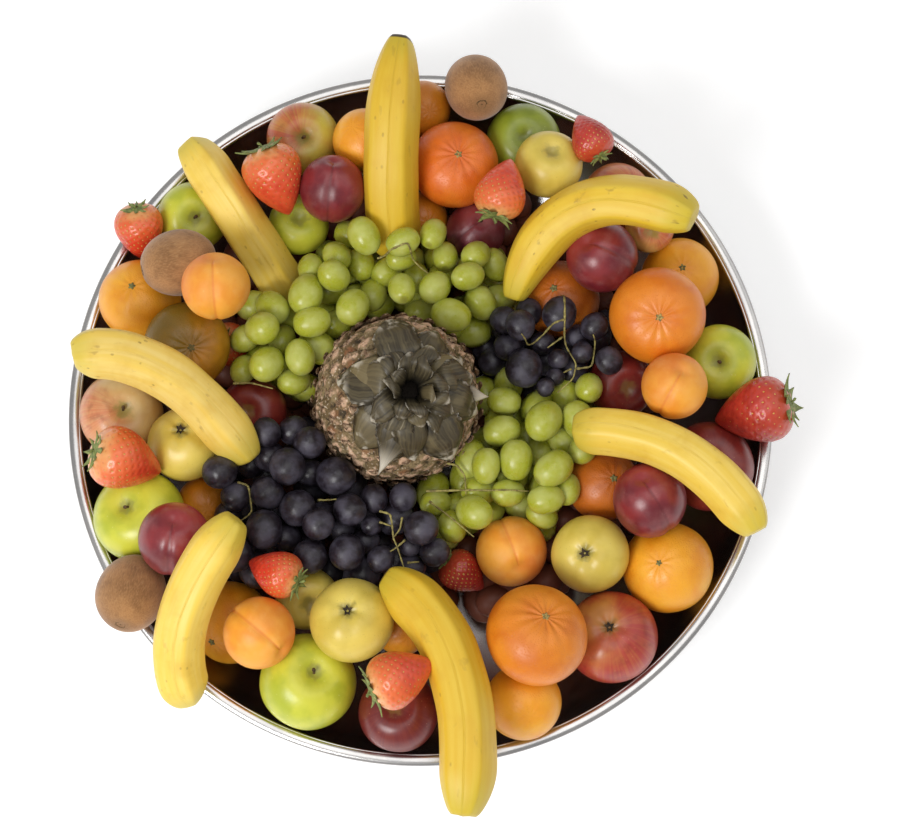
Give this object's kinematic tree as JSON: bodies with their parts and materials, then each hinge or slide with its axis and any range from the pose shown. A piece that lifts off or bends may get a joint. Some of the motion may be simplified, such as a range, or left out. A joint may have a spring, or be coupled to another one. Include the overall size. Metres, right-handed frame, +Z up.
{
  "type": "fruit bowl",
  "caption": "Wide round polished steel bowl heaped with whole fruit: bananas laid like petals round a standing pineapple, with grapes, apples, citrus, plums and berries between them.",
  "frame": {"origin": "middle of the flat round foot under the bowl, on the surface it stands on", "axes": "+Z up out of the bowl; -Y towards the viewer of the picture, +X to the picture's right, so the longest banana at the bottom of the picture points along -Y"},
  "size_m": [0.5575, 0.5878, 0.1963],
  "materials": {
    "polished_steel": "mirror polished stainless steel, dark inside from what it reflects",
    "pineapple_rind": "rough tan and brown scales under a short dry grey-green crown",
    "banana_peel": "smooth ripe yellow peel with a few brown spots",
    "strawberry_skin": "glossy red with pale seeds and green leaves",
    "kiwi_skin": "brown with fine fuzz",
    "orange_peel": "pored orange peel, satin",
    "mandarin_peel": "pored deep orange peel, satin",
    "apricot_skin": "soft velvety light orange",
    "plum_skin": "dark purple-red with a pale bloom",
    "apple_red_skin": "dark red with yellow flecks, glossy",
    "apple_blush_skin": "cream yellow with a red blush, satin",
    "apple_green_skin": "bright green, glossy",
    "apple_yellow_skin": "pale yellow-green, satin",
    "grape_green_skin": "translucent yellow-green",
    "grape_dark_skin": "blue-black with a grey bloom"
  },
  "bodies": {
    "root": {"bowl": "polished_steel", "pineapple": "pineapple_rind", "apple_blush_top": "apple_blush_skin", "orange_top_left": "orange_peel", "apple_green_upper_left": "apple_green_skin", "orange_left": "orange_peel", "orange_russet": "orange_peel", "apple_blush_left": "apple_blush_skin", "apple_green_left": "apple_green_skin", "orange_lower_left": "orange_peel", "apple_green_bottom": "apple_green_skin", "apple_red_bottom": "apple_red_skin", "orange_bottom": "orange_peel", "apple_red_lower_right": "apple_red_skin", "orange_lower_right": "orange_peel", "orange_inner_right": "orange_peel", "apple_red_right": "apple_red_skin", "apple_green_right": "apple_green_skin", "orange_right": "orange_peel", "orange_inner_top": "orange_peel", "apple_blush_upper_right": "apple_blush_skin", "apple_green_top": "apple_green_skin", "plum_top": "plum_skin", "apple_yellow_left": "apple_yellow_skin", "mandarin_top": "mandarin_peel", "apple_yellow_top": "apple_yellow_skin", "plum_upper_right": "plum_skin", "mandarin_right": "mandarin_peel", "apricot_right": "apricot_skin", "plum_lower_right": "plum_skin", "apple_yellow_right": "apple_yellow_skin", "apricot_bottom": "apricot_skin", "mandarin_bottom": "mandarin_peel", "apple_yellow_bottom": "apple_yellow_skin", "kiwi_lower_left": "kiwi_skin", "plum_left": "plum_skin", "apricot_lower_left": "apricot_skin", "kiwi_upper_left": "kiwi_skin", "apricot_upper_left": "apricot_skin", "kiwi_top": "kiwi_skin", "banana_top": "banana_peel", "banana_upper_left": "banana_peel", "banana_left": "banana_peel", "banana_lower_left": "banana_peel", "banana_bottom": "banana_peel", "banana_right": "banana_peel", "banana_upper_right": "banana_peel", "strawberry_top_left": "strawberry_skin", "strawberry_far_left": "strawberry_skin", "strawberry_top_right": "strawberry_skin", "strawberry_top": "strawberry_skin", "strawberry_right": "strawberry_skin", "strawberry_left": "strawberry_skin", "strawberry_lower_left": "strawberry_skin", "strawberry_bottom": "strawberry_skin", "strawberry_inner_bottom": "strawberry_skin", "grapes_green_top": "grape_green_skin", "grapes_green_right": "grape_green_skin", "grapes_dark_right": "grape_dark_skin", "grapes_dark_left": "grape_dark_skin"}
  },
  "joints": []
}
